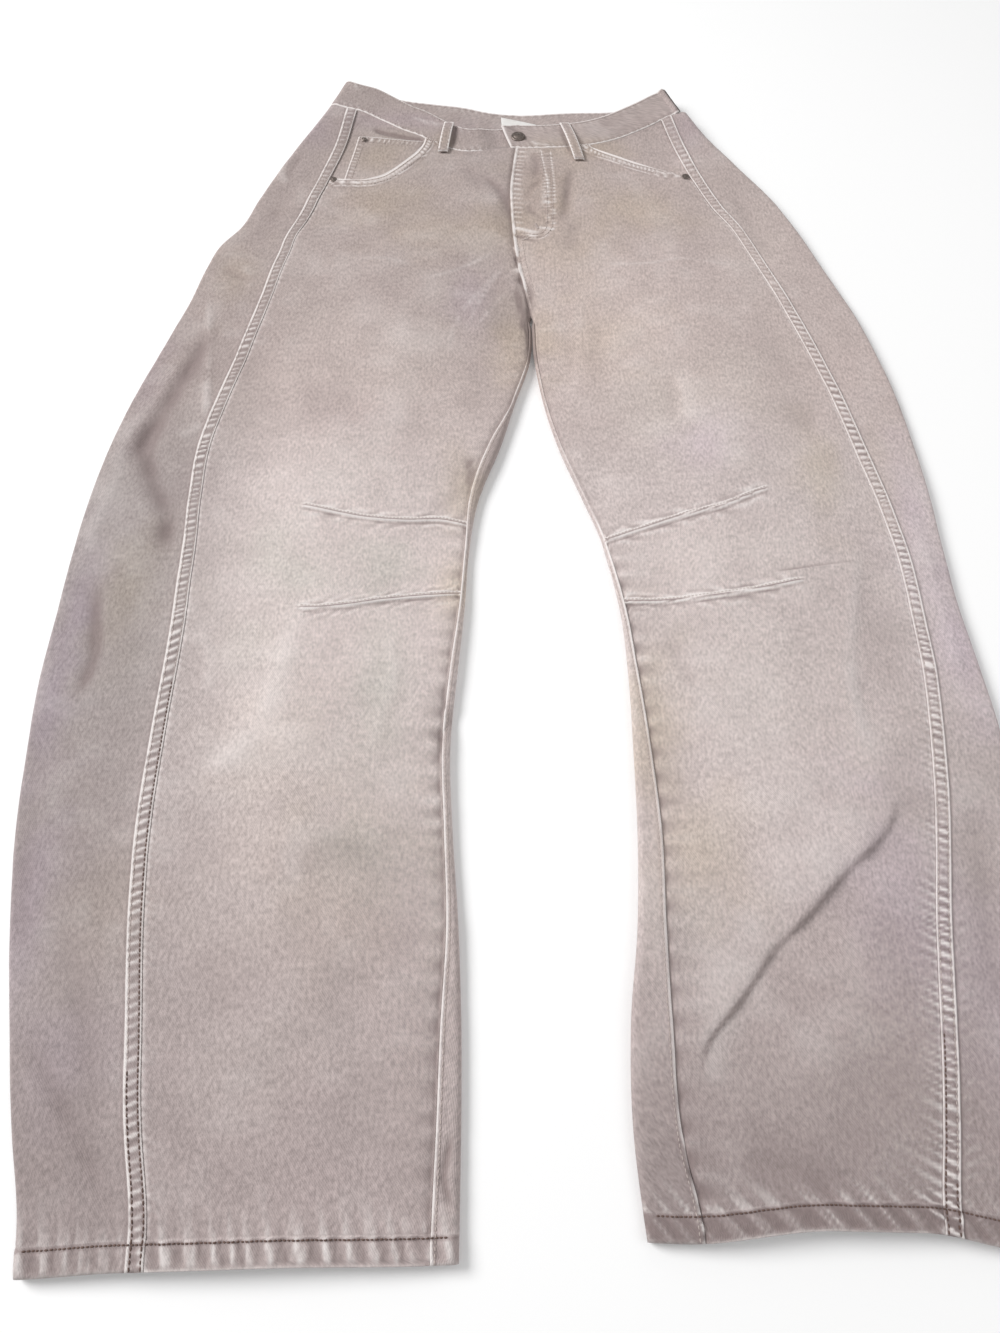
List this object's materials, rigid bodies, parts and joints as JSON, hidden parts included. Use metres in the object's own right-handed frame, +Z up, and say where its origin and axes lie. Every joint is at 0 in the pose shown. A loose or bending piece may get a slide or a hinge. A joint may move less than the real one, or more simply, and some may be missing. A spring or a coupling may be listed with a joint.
{
  "type": "barrel leg trousers",
  "caption": "Denim barrel leg trousers laid flat, front up: wide legs that curve out at the knee, side seams set on the front, knee darts, scoop pockets, coin pocket, belt loops.",
  "frame": {"origin": "on the resting surface, under the middle of the garment's bounding box", "axes": "+X to the right as seen from above with the waist away from the viewer, +Y from the hems to the waist, +Z up, out of the garment's front"},
  "size_m": [0.6808, 1.0398, 0.0202],
  "materials": {
    "denim": "washed cotton twill, matt",
    "pocket_denim": "washed cotton twill, matt",
    "label_cloth": "plain woven tape",
    "trim_metal": "dull, worn"
  },
  "bodies": {
    "root": {"front_left": "denim", "front_right": "denim", "back_left": "denim", "back_right": "denim", "waistband": "denim", "fly_shield": "pocket_denim", "pocket_facing_left": "pocket_denim", "pocket_facing_right": "pocket_denim", "coin_pocket": "denim", "belt_loop_left": "denim", "belt_loop_right": "denim", "label": "label_cloth", "button": "trim_metal", "rivet_left": "trim_metal", "rivet_right": "trim_metal", "rivet_coin": "trim_metal"}
  },
  "joints": []
}
